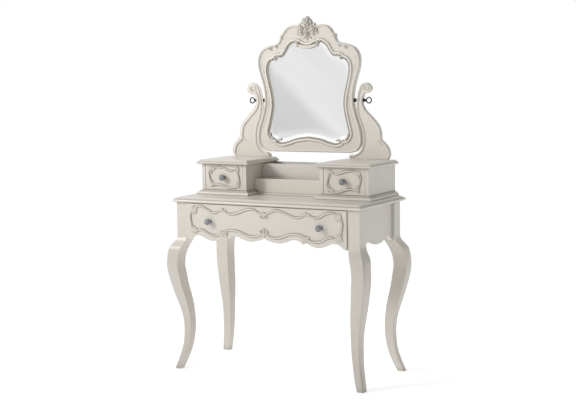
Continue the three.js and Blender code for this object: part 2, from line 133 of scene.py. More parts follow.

# Sections of the carved lines: across from -1 to 1, height from 0 to 1, and glaze with painted shade at their
# feet.
# Glaze below nought is a painted highlight: paint made lighter on the crest.
BEAD = [(-1.2, .02, 0), (-1.02, .05, .85), (-.9, .42, .1), (-.5, .88, -.5), (0, 1, -.8), (.5, .88, -.5),
        (.9, .42, .1), (1.02, .05, .85), (1.2, .02, 0)]
CYMA = [(-1.6, .02, 0), (-1.32, .02, .9), (-1.02, .03, 1), (-.92, .22, .6), (-.62, .36, .2),
        (-.36, .62, -.2), (-.12, .96, -.9), (.12, 1, -1), (.36, .86, -.6), (.62, .46, .1), (.92, .2, .6),
        (1.05, .03, 1), (1.32, .02, .9), (1.6, .02, 0)]
PETAL = [(-1.15, .02, 1), (-1.02, .05, 1), (-.9, .45, .85), (-.5, .9, .34), (0, 1, -.1), (.5, .9, .34),
         (.9, .45, .85), (1.02, .05, 1), (1.15, .02, 1)]
LOBE = [(-1.1, .02, 0), (-1, .05, .95), (-.88, .6, -.4), (-.6, .86, -.9), (-.3, .62, .1), (0, .5, .6),
        (.3, .62, .1), (.6, .86, -.9), (.88, .6, -.4), (1, .05, .95), (1.1, .02, 0)]
LEAF = [(-1.15, .02, 0), (-1, .05, .9), (-.86, .5, -.3), (-.5, .6, .1), (-.22, .55, .5), (0, 1, -.9),
        (.22, .55, .5), (.5, .6, .1), (.86, .5, -.3), (1, .05, .9), (1.15, .02, 0)]
RIM = [(-1, 0, .1), (-.95, .45, -.2), (-.75, .86, -.8), (-.35, 1, -1), (.05, .9, -.5), (.36, .58, .12),
       (.56, .2, .7), (.68, .02, 1), (1.34, .02, 1), (1.62, .015, .4), (2.0, .01, 0)]
GROUND = [(-1.1, .02, 1), (-1, .5, .8), (-.8, .9, .2), (0, 1, .3), (.8, .9, .2), (1, .5, .8), (1.1, .02, 1)]
# The moulding round the glass: millimetres out from the sight line, share of its rise, and glaze, with painted
# shade in the cove by the glass and painted highlight below nought.
OGEE = [(0, -0.2, 1), (.3, .1, .9), (4.6, .12, .95), (8.4, .22, 1), (9.4, .6, .5), (10.6, 1.0, -.3),
        (12.0, 1.18, -.8), (14.8, 1.18, -.8), (16.6, .9, -.3), (17.8, .5, .3), (18.5, .3, .85),
        (19.3, .34, .4), (20.3, .24, 0), (21.2, .05, .6), (22.2, .02, .1)]
# A knob's radius and distance out, and the glaze at each turn of it.
KNOB = [(10.2, 0), (10.2, 1.2), (9.2, 2.2), (6.2, 3.4), (5.2, 6), (5.0, 9.6), (6.6, 11.6), (9.6, 13),
        (12.9, 15), (14.3, 17.4), (14.4, 19.2), (13.6, 21.2), (11.8, 22.6), (10.4, 22.2), (9.4, 22.8),
        (8.6, 24.4), (6.4, 25.2), (5.2, 24.6), (4.4, 25.4), (3.0, 26.3), (0.6, 26.5)]
KNOB_GLAZE = [.7, .3, .4, .9, .9, .9, .8, .6, .3, .1, 0, 0, .3, .9, .6, .1, .2, .9, .5, 0, 0]
# A thumbscrew's spindle: radius and distance along it from its tip.
SPINDLE = [(3.0, 0), (4.2, 1.4), (4.2, 55.6), (7.4, 56), (8, 57), (8, 59), (7.4, 60), (5.0, 60.6), (6.0, 62),
           (6.1, 64), (5.3, 66), (6.0, 67.6), (5.6, 69.2), (3.8, 70.5)]


# ---- settings ------------------------------------------------------------

class VanitySettings(PropertyGroup):
    """Sizes and colours of the vanity that a user may change."""

    paint: FloatVectorProperty(
        name="Paint", description="Antique white paint of the woodwork",
        subtype="COLOR", size=3, min=0, max=1, default=(0.655, 0.622, 0.572))
    # this colour serves the glaze and also the painted shade in the recesses
    glaze: FloatVectorProperty(
        name="Glaze", description="Grey-brown glaze wiped into the recesses",
        subtype="COLOR", size=3, min=0, max=1, default=(0.262, 0.238, 0.190))
    timber: FloatVectorProperty(
        name="Timber", description="Bare wood of the drawer boxes and the back",
        subtype="COLOR", size=3, min=0, max=1, default=(0.545, 0.410, 0.275))
    metal: FloatVectorProperty(
        name="Knob metal", description="Aged pewter of the knobs",
        subtype="COLOR", size=3, min=0, max=1, default=(0.37, 0.38, 0.41))
    arris: FloatProperty(
        name="Eased edge", description="Width of the eased edge on the plain boards",
        unit="LENGTH", min=0.0002, max=0.004, default=0.0016)
    moulding_height: FloatProperty(
        name="Moulding height", description="How far the applied mouldings stand off the drawer fronts",
        unit="LENGTH", min=0.001, max=0.009, default=0.0074)
    rim_width: FloatProperty(
        name="Rim width", description="Width of the raised rim round the mirror frame",
        unit="LENGTH", min=0.006, max=0.02, default=0.0135)


def settings():
    return bpy.context.scene.vanity


# ---- selection and finishing ----------------------------------------------

def deselect():
    if bpy.context.object and bpy.context.object.mode != "OBJECT":
        bpy.ops.object.mode_set(mode="OBJECT")
    bpy.ops.object.select_all(action="DESELECT")


def choose(*objects):
    deselect()
    for item in objects:
        item.select_set(True)
    bpy.context.view_layer.objects.active = objects[0]


def apply_modifier(piece, kind, **values):
    choose(piece)
    modifier = piece.modifiers.new(kind.title(), kind)
    for key, value in values.items():
        setattr(modifier, key, value)
    bpy.ops.object.modifier_apply(modifier=modifier.name)


def outward(piece):
    """Turns every face of a closed piece outwards."""
    choose(piece)
    bpy.ops.object.mode_set(mode="EDIT")
    bpy.ops.mesh.select_all(action="SELECT")
    bpy.ops.mesh.normals_make_consistent(inside=False)
    bpy.ops.object.mode_set(mode="OBJECT")


def shade(piece, degrees=38, weighted=False):
    choose(piece)
    bpy.ops.object.shade_smooth_by_angle(angle=math.radians(degrees))
    if weighted:
        apply_modifier(piece, "WEIGHTED_NORMAL", keep_sharp=True, weight=80)


def finish(piece, body, material, node):
    """Gives a piece its finish and its body, and hides the node that it stands for."""
    piece.data.materials.clear()
    piece.data.materials.append(material)
    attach(piece, body)
    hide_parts(node)
    return piece


def joined(name, pieces):
    choose(*pieces)
    if len(pieces) > 1:
        bpy.ops.object.join()
    piece = bpy.context.object
    piece.name = name
    piece.data.name = name
    return piece


# ---- lines ----------------------------------------------------------------

def smooth_line(runs, steps=6):
    """Points along smooth runs that meet in sharp corners."""
    line = []
    for run in runs:
        spans = len(run) - 1
        for span in range(spans):
            p0, p1, p2, p3 = (run[min(max(span + k, 0), spans)] for k in (-1, 0, 1, 2))
            count = 1 if len(run) == 2 else steps
            for step in range(count):
                t = step / count
                line.append(tuple(
                    0.5 * (2 * b + (c - a) * t + (2 * a - 5 * b + 4 * c - d) * t * t
                           + (3 * b - a - 3 * c + d) * t ** 3)
                    for a, b, c, d in zip(p0, p1, p2, p3)))
    line.append(runs[-1][-1])
    return line


def mirrored_loop(half):
    """Closes a right half on its own mirror image."""
    return half + [(-x, z) for x, z in reversed(half) if x > 1e-6]


def loop_area(loop):
    return 0.5 * sum(a[0] * b[1] - b[0] * a[1] for a, b in zip(loop, loop[1:] + loop[:1]))


def inset_loop(loop, distance):
    """Moves a closed line inwards, or outwards where the distance is negative."""
    turn = 1 if loop_area(loop) > 0 else -1
    moved = []
    for i, (x, z) in enumerate(loop):
        bx, bz = loop[i - 1]
        ax, az = loop[(i + 1) % len(loop)]
        length = math.hypot(ax - bx, az - bz) or 1
        moved.append((x - turn * (az - bz) / length * distance, z + turn * (ax - bx) / length * distance))
    return moved


def resampled(loop, count):
    """The same closed line, with its points evenly spaced."""
    ends = list(loop) + [loop[0]]
    lengths = [0.0]
    for a, b in zip(ends, ends[1:]):
        lengths.append(lengths[-1] + math.dist(a, b))
    points = []
    span = 0
    for i in range(count):
        target = lengths[-1] * i / count
        while lengths[span + 1] < target:
            span += 1
        part = (target - lengths[span]) / ((lengths[span + 1] - lengths[span]) or 1)
        a, b = ends[span], ends[span + 1]
        points.append((a[0] + (b[0] - a[0]) * part, a[1] + (b[1] - a[1]) * part))
    return points


def eased_inset(loop, distance, count=420):
    """An inset line with its tight corners rounded, so that it never folds over itself."""
    steps = max(1, round(distance / 1.5))
    for _ in range(steps):
        loop = inset_loop(resampled(loop, count), distance / steps)
        loop = [((loop[i - 1][0] + 2 * x + loop[(i + 1) % count][0]) / 4,
                 (loop[i - 1][1] + 2 * z + loop[(i + 1) % count][1]) / 4) for i, (x, z) in enumerate(loop)]
    return loop


def value_at(line, height):
    """Where a sawn line stands at a height; the line runs downwards."""
    if height >= line[0][1]:
        return line[0][0]
    for (xa, za), (xb, zb) in zip(line, line[1:]):
        if zb <= height <= za:
            return xa + (xb - xa) * (za - height) / ((za - zb) or 1)
    return line[-1][0]


def rounded_rectangle(x0, x1, y0, y1, radii, points=4):
    """Corner points of a rectangle, anticlockwise from the corner at the high x and low y."""
    ring = []
    corners = ((x1, y0, -90), (x1, y1, 0), (x0, y1, 90), (x0, y0, 180))
    for (cx, cy, start), radius in zip(corners, radii):
        mx = cx - radius if cx == x1 else cx + radius
        my = cy - radius if cy == y1 else cy + radius
        for i in range(points):
            angle = math.radians(start + 90 * i / (points - 1))
            ring.append((mx + radius * math.cos(angle), my + radius * math.sin(angle)))
    return ring


# ---- modelling ------------------------------------------------------------

def grow(name, rings, glaze=None):
    """A closed solid grown from its first ring to its last by extruding its end face."""
    deselect()
    bpy.ops.mesh.primitive_circle_add(vertices=len(rings[0]), radius=0.01, fill_type="NGON")
    piece = bpy.context.object
    piece.name = name
    bpy.ops.object.mode_set(mode="EDIT")
    bpy.ops.mesh.select_all(action="SELECT")
    edited = bmesh.from_edit_mesh(piece.data)
    edited.verts.ensure_lookup_table()
    ring = [v.index for v in edited.verts]
    order = [list(ring)]
    for vertex, place in zip(edited.verts, rings[0]):
        vertex.co = Vector(place) * MM
    for places in rings[1:]:
        bpy.ops.mesh.extrude_region_move()
        edited = bmesh.from_edit_mesh(piece.data)
        edited.verts.index_update()
        edited.verts.ensure_lookup_table()
        onward = []
        for index in ring:
            vertex = edited.verts[index]
            onward.append(next(e.other_vert(vertex).index for e in vertex.link_edges
                               if e.other_vert(vertex).select))
        for index, place in zip(onward, places):
            edited.verts[index].co = Vector(place) * MM
        ring = onward
        order.append(list(ring))
    bpy.ops.mesh.select_all(action="SELECT")
    bpy.ops.mesh.normals_make_consistent(inside=False)
    bpy.ops.object.mode_set(mode="OBJECT")
    layer = piece.data.attributes.new("glaze", "FLOAT", "POINT")
    if glaze is not None:
        for indices, amount in zip(order, glaze):
            for k, index in enumerate(indices):
                layer.data[index].value = amount[k] if isinstance(amount, (list, tuple)) else amount
    return piece


def moulded_board(node, name, edge, mould_back=True):
    """A painted board whose moulded edges meet in mitres. The edge gives inset, height, and glaze with painted
    shade and painted highlight.
    """
    low, high = (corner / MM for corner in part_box(node))
    rings = []
    for inset, height, _ in edge:
        back = high[1] - (inset if mould_back else 0)
        radii = [1.2 + 0.08 * inset] * 4
        ring = rounded_rectangle(low[0] + inset, high[0] - inset, low[1] + inset, back, radii)
        rings.append([(x, y, height) for x, y in ring])
    board = grow(name, rings, [amount for _, _, amount in edge])
    shade(board, 50, weighted=True)
    return finish(board, "carcass", painted_wood("x"), node)


def turned(name, profile, place, axis="y", sides=32, lobes=0, lobe_depth=0.0, glaze=None):
    """A turned solid: radius and distance along its axis. Lobes press petals into the wide rings."""
    rings = []
    widest = max(radius for radius, _ in profile)
    for radius, along in profile:
        ring = []
        for i in range(sides):
            angle = 2 * math.pi * i / sides
            swell = 1 + lobe_depth * math.cos(lobes * angle) * (radius / widest) ** 2 if lobes else 1
            a, b = radius * swell * math.cos(angle), radius * swell * math.sin(angle)
            if axis == "y":
                ring.append((place[0] + a, place[1] - along, place[2] + b))
            else:
                ring.append((place[0] + along, place[1] + a, place[2] + b))
        rings.append(ring)
    return grow(name, rings, glaze)


def carve(strokes, name):
    """Joins carved strokes into one piece. Each stroke is a section drawn along a line on an upright face.

    A stroke is (line, section, half widths, heights, closed), with its line as x, y, z points."""
    points, faces, amounts = [], [], []
    for line, section, widths, heights, closed in strokes:
        count = len(line)
        first = len(points)
        size = len(section) + 2
        for i, (x, y, z) in enumerate(line):
            before = line[i - 1] if (i or closed) else line[i]
            after = line[(i + 1) % count] if (i < count - 1 or closed) else line[i]
            tx, tz = after[0] - before[0], after[2] - before[2]
            length = math.hypot(tx, tz) or 1
            nx, nz = tz / length, -tx / length
            width, height = widths[i], heights[i]
            foot_start, foot_end = ((section[k][0], -ROOT_DEPTH, ROOT_GLAZE_AND_SHADE) for k in (0, -1))
            for u, v, g in [foot_start, *((u, v * height, g) for u, v, g in section), foot_end]:
                points.append(((x + nx * u * width) * MM, (y - v) * MM, (z + nz * u * width) * MM))
                amounts.append(g)
        for i in range(count if closed else count - 1):
            a, b = first + i * size, first + ((i + 1) % count) * size
            for k in range(size):
                m = (k + 1) % size
                faces.append((a + k, a + m, b + m, b + k))
        if not closed:
            faces.append(tuple(first + k for k in range(size)))
            faces.append(tuple(first + (count - 1) * size + k for k in reversed(range(size))))
    mesh = bpy.data.meshes.new(name)
    mesh.from_pydata(points, [], faces)
    piece = bpy.data.objects.new(name, mesh)
    bpy.context.scene.collection.objects.link(piece)
    layer = mesh.attributes.new("glaze", "FLOAT", "POINT")
    for i, amount in enumerate(amounts):
        layer.data[i].value = amount
    outward(piece)
    shade(piece, 50)
    return piece


def ring_stroke(loop, y, section, half_width, height):
    line = [(x, y, z) for x, z in loop]
    return (line, section, [half_width] * len(line), [height] * len(line), True)


def tapering(line, section, half_width, height, least, run):
    """An open line that thins towards both of its ends."""
    last = len(line) - 1
    share = [min(1.0, least + min(i, last - i) / run) for i in range(last + 1)]
    return (line, section, [half_width * part for part in share], [height * part for part in share], False)


def drawn_line(loop, y, joints, half_width, height, slimmest=0.55, reach=42.0):
    """A carved line that slims down towards the joints where the leaves sit."""
    line = [(x, y, z) for x, z in loop]
    share = [slimmest + (1 - slimmest) * min(1.0, min(math.dist(p, j) for j in joints) / reach) for p in loop]
    heights = [height * (0.35 + 0.65 * part) for part in share]
    return (line, CYMA, [half_width * part for part in share], heights, True)


def shares(count):
    """Even steps from 0 to 1."""
    return [i / (count - 1) for i in range(count)]


def wander(x, y, z, heading, length, bend, count):
    """A line that heads off at an angle and bends on its way."""
    line = []
    for t in shares(count):
        line.append((x, y, z))
        angle = math.radians(heading + bend * t)
        x += math.cos(angle) * length / (count - 1)
        z += math.sin(angle) * length / (count - 1)
    return line


def lobe(x, y, z, heading, length, half_width, height, bend=0.0):
    """A scooped lobe, narrow where it starts and broad and round at its end, as on a shell."""
    count, broadest = 13, 0.62
    widths, heights = [], []
    for t in shares(count):
        past = max(0.0, (t - broadest) / (1 - broadest))
        grown = 0.42 + 0.58 * math.sin(math.pi / 2 * min(1.0, t / broadest))
        widths.append(half_width * grown * math.sqrt(max(0.03, 1 - past ** 2.4)))
        heights.append(height * (0.62 + 0.38 * min(1.0, t / 0.5)) * (1 - 0.30 * past ** 3))
    return (wander(x, y, z, heading, length, bend, count), LOBE, widths, heights, False)


def shell(x, y, z, headings, length, half_width, height):
    """Lobes spread from one place, with a boss over their roots."""
    lobes = [lobe(x, y, z, heading, length * share, half_width, height, bend)
             for heading, share, bend in headings]
    return lobes + [button(x, y, z, half_width * 0.8, height * 1.12)]


def leaf(x, y, z, heading, length, half_width, height, bend=0.0, blunt=0.35):
    """A pointed leaf that starts at a place, heads off at an angle and bends on its way."""
    count, lead = 12, blunt * 0.25
    widths, heights = [], []
    for t in shares(count):
        swell = math.sin(math.pi * min(1.0, (t + lead) / (1 + lead))) ** 0.75
        widths.append(max(0.25, half_width * swell))
        heights.append(max(0.3, height * (0.55 + 0.45 * math.sin(math.pi * min(t + 0.2, 1)))))
    return (wander(x, y, z, heading, length, bend, count), LEAF, widths, heights, False)


def scroll(x, y, z, radius, start, turns, half_width, height, shrink=0.3):
    """A curled end: a bead wound inwards round a middle."""
    line, widths, heights = [], [], []
    for t in shares(max(10, int(abs(turns) * 22))):
        reach = radius * (1 - (1 - shrink) * t)
        angle = math.radians(start) + 2 * math.pi * turns * t
        line.append((x + reach * math.cos(angle), y, z + reach * math.sin(angle)))
        widths.append(half_width * (1 - 0.45 * t))
        heights.append(height * (1 + 0.15 * t))
    return (line, BEAD, widths, heights, False)


def button(x, y, z, radius, height):
    """A small round boss."""
    count = 8
    line, widths, heights = [], [], []
    for i in range(count):
        t = -1 + 2 * (i + 0.15) / (count - 0.7)
        swell = math.sqrt(max(0.02, 1 - t * t))
        line.append((x + radius * t, y, z))
        widths.append(radius * swell)
        heights.append(height * swell)
    return (line, BEAD, widths, heights, False)


def each(stroke, y, *rows):
    """One stroke for each row, which gives x, z and what the stroke takes after them."""
    return [stroke(x, y, z, *rest) for x, z, *rest in rows]


def rim_section(loop):
    """The rim's section with its rounded side outwards, whichever way the line runs."""
    return [(-u, v, g) for u, v, g in reversed(RIM)] if loop_area(loop) > 0 else RIM


def flipped(strokes):
    """The same strokes on the other side of the middle."""
    return [([(-x, y, z) for x, y, z in line], section, widths, heights, closed)
            for line, section, widths, heights, closed in strokes]


def eased_copy(node, name, width=None, segments=3):
    """A copy of a node with its edges eased and the glaze that lies along them."""
    deselect()
    piece = bpy.data.objects.new(name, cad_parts[node].data.copy())
    bpy.context.scene.collection.objects.link(piece)
    choose(piece)
    bpy.ops.object.mode_set(mode="EDIT")
    bpy.ops.mesh.select_all(action="SELECT")
    bpy.ops.mesh.remove_doubles(threshold=0.00002)
    bpy.ops.mesh.dissolve_limited(angle_limit=math.radians(0.6))
    bpy.ops.object.mode_set(mode="OBJECT")
    piece.data.materials.clear()
    for _ in range(2):
        piece.data.materials.append(None)
    for face in piece.data.polygons:
        face.material_index = 0
    apply_modifier(piece, "BEVEL", width=width or settings().arris, segments=segments,
                   limit_method="ANGLE", angle_limit=math.radians(40), material=1, harden_normals=False)
    layer = piece.data.attributes.new("glaze", "FLOAT", "CORNER")
    for face in piece.data.polygons:
        for corner in face.loop_indices:
            layer.data[corner].value = EDGE_GLAZE if face.material_index == 1 else 0.0
        face.material_index = 0
    shade(piece, 38, weighted=True)
    return piece


def eased_board(node, name, material, body="carcass", slot="painted_wood", **easing):
    """A board with its edges eased, finished and standing for its node."""
    return finish(eased_copy(node, name, **easing), body, material, node)


# ---- shader wiring --------------------------------------------------------

class Wire:
    """A shader socket that Python's arithmetic works on."""

    def __init__(self, maker, socket):
        self.maker = maker
        self.socket = socket

    def _with(self, operation, first, second):
        return self.maker.node("ShaderNodeMath", {"operation": operation}, {0: first, 1: second})[0]

    def __add__(self, other):
        return self._with("ADD", self, other)

    def __radd__(self, other):
        return self._with("ADD", other, self)

    def __sub__(self, other):
        return self._with("SUBTRACT", self, other)

    def __rsub__(self, other):
        return self._with("SUBTRACT", other, self)

    def __mul__(self, other):
        return self._with("MULTIPLY", self, other)

    def __rmul__(self, other):
        return self._with("MULTIPLY", other, self)


class Made:
    """The outputs of a new node, by place or by name."""

    def __init__(self, maker, node):
        self.maker = maker
        self.node = node

    def __getitem__(self, key):
        return Wire(self.maker, self.node.outputs[key])


class Wiring:
    """A node tree under construction."""

    def __init__(self, tree):
        self.tree = tree

    def node(self, kind, setup=None, inputs=None):
        made = self.tree.nodes.new(kind)
        for key, value in (setup or {}).items():
            if key == "ramp":
                ramp = made.color_ramp
                while len(ramp.elements) < len(value):
                    ramp.elements.new(0.5)
                for element, (stop, level) in zip(ramp.elements, value):
                    element.position = stop
                    element.color = (*level, 1) if isinstance(level, tuple) else (level, level, level, 1)
            else:
                setattr(made.color_ramp if key == "interpolation" else made, key, value)
        for key, value in (inputs or {}).items():
            self.feed(made.inputs[key], value)
        return Made(self, made)

    def feed(self, socket, value):
        if isinstance(value, Wire):
            self.tree.links.new(value.socket, socket)
        elif isinstance(value, (tuple, list)) and len(value) == 3 and socket.type == "RGBA":
            socket.default_value = (*value, 1)
        else:
            socket.default_value = value

    def noise(self, vector, scale, detail=3.0, roughness=0.55, distortion=0.0):
        return self.node("ShaderNodeTexNoise", None, {
            "Vector": vector, "Scale": scale, "Detail": detail, "Roughness": roughness,
            "Distortion": distortion})["Fac"]

    def ramp(self, value, *stops, **setup):
        return self.node("ShaderNodeValToRGB", {**setup, "ramp": stops}, {"Fac": value})[0]

    def mix(self, factor, first, second):
        return self.node("ShaderNodeMix", {"data_type": "RGBA"}, {0: factor, 6: first, 7: second})[2]

    def between(self, factor, first, second):
        """The same as mix, for numbers."""
        return self.node("ShaderNodeMix", None, {0: factor, 2: first, 3: second})[0]

    def along(self, value, start, end, low=0.0, high=1.0, **setup):
        """A value's way from start to end, as low to high."""
        return self.node("ShaderNodeMapRange", setup, {
            "Value": value, "From Min": start, "From Max": end, "To Min": low, "To Max": high})[0]

    def dot(self, vector, direction):
        return self.node("ShaderNodeVectorMath", {"operation": "DOT_PRODUCT"}, {
            0: vector, 1: direction})["Value"]

    def bump(self, height, strength, distance):
        return self.node("ShaderNodeBump", None, {
            "Height": height, "Strength": strength, "Distance": distance})[0]


class Finish(Wiring):
    """A material under construction."""

    def __init__(self, name):
        self.material = bpy.data.materials.new(name)
        self.material.use_nodes = True
        super().__init__(self.material.node_tree)

    def place(self, scale=(1, 1, 1)):
        """Coordinates in metres on the finished object."""
        spot = self.node("ShaderNodeTexCoord")["Object"]
        return self.node("ShaderNodeMapping", None, {"Vector": spot, "Scale": scale})[0]

    def glaze(self):
        """How much glaze and painted shade the carving and the edges carry; below nought, how much painted
        highlight.
        """
        return self.node("ShaderNodeAttribute", {"attribute_name": "glaze"})["Fac"]

    def surface(self, **values):
        shader = self.tree.nodes["Principled BSDF"]
        for key, value in values.items():
            self.feed(shader.inputs[key.replace("_", " ")], value)
        return self.material


def scaled(colour, amount):
    return tuple(min(1.0, c * amount) for c in colour)


def toned(colour, red, green, blue):
    return (colour[0] * red, colour[1] * green, colour[2] * blue)


def kept(build):
    """Makes each finish once and hands it out again after that."""
    made = {}

    def once(*grain):
        name = "_".join((build.__name__, *grain))
        if name not in made:
            made[name] = build(Finish(name), *grain)
        return made[name]
    return once


@kept
def painted_wood(make, grain):
    """Antique white paint, brushed along the grain, with a glaze and painted shade in the recesses and painted
    highlights on crests and edges.
    """
    paint, glaze = settings().paint[:], settings().glaze[:]
    stretch = {"x": (2.2, 26, 60), "y": (26, 2.2, 60), "z": (34, 34, 1.8)}[grain]
    brushed = make.noise(make.place(stretch), 6.0, 4.0, 0.6)
    fine = make.noise(make.place(tuple(4 * s for s in stretch)), 6.0, 2.0, 0.5)
    cloud = make.noise(make.place(), 7.0)
    patch = make.noise(make.place(), 42.0, 4.0, 0.65)
    speck = make.noise(make.place(), 420.0, 2.0, 0.6)
    # above nought this is glaze with painted shade, below nought a painted highlight
    glaze_shade_and_highlight = make.glaze()
    streaks = make.ramp(brushed, (0.50, 0.0), (0.78, 1.0))
    aged = make.ramp(cloud, (0.36, 0.0), (0.74, 1.0))
    specks = make.ramp(speck, (0.70, 0.0), (0.82, 1.0))
    # painted highlight: paint made lighter on crests and edges where the glaze falls below nought
    wear_and_highlight = make.ramp(glaze_shade_and_highlight * -1.0, (0.0, 0.0), (0.9, 1.0))
    # glaze with painted shade: recesses and the feet of the carving made darker
    glaze_and_painted_shade = make.ramp(glaze_shade_and_highlight * (0.82 + 0.34 * patch), (0.02, 0.0), (0.96, 1.0))
    colour = make.mix(aged * 0.55, paint, toned(paint, 0.955, 0.935, 0.90))
    colour = make.mix(streaks * 0.20, colour, scaled(glaze, 1.9))
    # the painted highlight is mixed in here
    colour = make.mix(wear_and_highlight * 0.8, colour, toned(paint, 1.28, 1.31, 1.35))
    colour = make.mix(specks * 0.10, colour, glaze)
    # the glaze and the painted shade are mixed in here
    colour = make.mix(glaze_and_painted_shade * 0.86, colour, glaze)
    relief = brushed * 0.5 + fine * 0.35 + speck * 0.15
    return make.surface(
        Base_Color=colour, Roughness=0.26 + 0.16 * patch + 0.22 * glaze_and_painted_shade,
        Normal=make.bump(relief, 0.16, 0.0006),
        Coat_Weight=0.12, Coat_Roughness=0.28, Specular_IOR_Level=0.42)


@kept
def bare_wood(make, grain):
    """Bare pale wood with its grain along a board."""
    base = settings().timber[:]
    stretch = {"x": (3, 42, 42), "y": (42, 3, 42), "z": (42, 42, 3)}[grain]
    warp = make.noise(make.place(tuple(0.4 * s for s in stretch)), 3.0, 2.0)
    rings = make.noise(make.place(stretch), 2.2, 5.0, 0.62, 0.8)
    pores = make.noise(make.place(tuple(5 * s for s in stretch)), 5.0, 2.0, 0.5)
    band = make.ramp(rings, (0.34, 0.0), (0.52, 0.65), (0.70, 1.0))
    colour = make.mix(band, scaled(base, 0.74), scaled(base, 1.14))
    colour = make.mix(warp * 0.4, colour, toned(base, 0.98, 0.96, 0.94))
    dark_pores = make.ramp(pores, (0.60, 0.0), (0.76, 1.0))
    colour = make.mix(dark_pores * 0.35, colour, scaled(base, 0.42))
    return make.surface(
        Base_Color=colour, Roughness=0.58 + 0.18 * rings,
        Normal=make.bump(rings * 0.5 - dark_pores * 0.4, 0.25, 0.0006))


@kept
def pewter(make):
    """Cast pewter, dark in its hollows and rubbed bright on its high parts."""
    metal = settings().metal[:]
    cast = make.noise(make.place(), 260.0, 4.0, 0.6)
    cloud = make.noise(make.place(), 90.0, 3.0, 0.6)
    wear_and_highlight = make.mix(make.ramp(cloud, (0.38, 0.0), (0.68, 1.0)), scaled(metal, 0.78), scaled(metal, 1.3))
    dark = make.ramp(make.glaze() + 0.35 * cast - 0.12, (0.05, 0.0), (0.85, 1.0))
    return make.surface(
        Base_Color=make.mix(dark * 0.65, wear_and_highlight, scaled(metal, 0.3)), Metallic=0.72,
        Roughness=0.50 + 0.2 * cast, Normal=make.bump(cast, 0.4, 0.0007))


@kept
def black_iron(make):
    """Blacked iron with worn, slightly brighter patches."""
    rough = make.noise(make.place(), 340.0, 4.0, 0.65)
    worn = make.ramp(make.noise(make.place(), 120.0), (0.56, 0.0), (0.74, 1.0))
    return make.surface(
        Base_Color=make.mix(worn, (0.012, 0.012, 0.013), (0.06, 0.058, 0.055)), Metallic=0.7,
        Roughness=0.30 + 0.28 * rough, Normal=make.bump(rough, 0.3, 0.0005))


@kept
def mirror_glass(make):
    """Silvered glass, with the faintest unevenness in its silver."""
    haze = make.noise(make.place(), 9.0, 3.0, 0.5)
    return make.surface(
        Base_Color=make.mix(haze, (0.955, 0.96, 0.965), (0.985, 0.985, 0.98)), Metallic=1.0,
        Roughness=0.015 + 0.03 * haze)


# ---- operators ------------------------------------------------------------

class VANITY_OT_tabletop(Operator):
    """Models the moulded tabletop"""

    bl_idname = "vanity.tabletop"
    bl_label = "Tabletop"

    def execute(self, context):
        moulded_board("tabletop", "tabletop_board", TOP_EDGE)
        return {"FINISHED"}


class VANITY_OT_legs(Operator):
    """Models the four sawn and rounded legs"""

    bl_idname = "vanity.legs"
    bl_label = "Legs"

    def execute(self, context):
        outer, inner = smooth_line([LEG_OUTER], 8), smooth_line([LEG_INNER], 8)
        post_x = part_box("wide_drawer_front")[1].x / MM + DRAWER_GAP + POST_WIDTH
        post_y = post_x - POST_OFFSET
        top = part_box("leg_front_left")[1].z / MM
        heights = [0.0, 1.2] + [8.0 + 8 * k for k in range(73)] + [KNEE_TOP, 600.0, 640.0, top - 0.8, top]
        for end, sy in (("front", -1), ("rear", 1)):
            for hand, sx in SIDES:
                outer_corner = {(1, -1): 0, (1, 1): 1, (-1, 1): 2, (-1, -1): 3}[(sx, sy)]
                rings, glaze = [], []
                for height in heights:
                    reach, back = value_at(outer, height), value_at(inner, height)
                    ease = max(0.0, min(1.0, (KNEE_TOP - height) / EASE_LENGTH))
                    trim = 1.0 if height in (0.0, top) else 0.0
                    radii = [2.2] * 4
                    radii[outer_corner] = 1.8 + 7.5 * ease
                    span_x, span_y = (sorted((side * (post + back + trim), side * (post + reach - trim)))
                                      for side, post in ((sx, post_x), (sy, post_y)))
                    ring = rounded_rectangle(*span_x, *span_y, radii, 5)
                    rings.append([(x, y, height) for x, y in ring])
                    # painted shade: darker below the knee and most towards the foot, over a little glaze
                    glaze.append(0.05 + 0.11 * ease + 0.34 * max(0.0, 1 - height / FOOT_SHADE))
                leg = grow(f"cabriole_leg_{end}_{hand}", rings, glaze)
                shade(leg, 42, weighted=True)
                finish(leg, "carcass", painted_wood("z"), f"leg_{end}_{hand}")
        return {"FINISHED"}


class VANITY_OT_aprons(Operator):
    """Eases the edges of the aprons and finishes the rail and the drawer runners"""

    bl_idname = "vanity.aprons"
    bl_label = "Aprons"

    def execute(self, context):
        for hand, _ in SIDES:
            eased_board(f"side_apron_{hand}", f"scalloped_apron_{hand}", painted_wood("y"))
        for node in ("back_apron", "front_top_rail"):
            eased_board(node, f"{node}_board", painted_wood("x"))
        for hand, _ in SIDES:
            eased_board(f"drawer_runner_{hand}", f"runner_{hand}", bare_wood("y"), slot="bare_wood",
                        **THIN_EDGE)
        return {"FINISHED"}


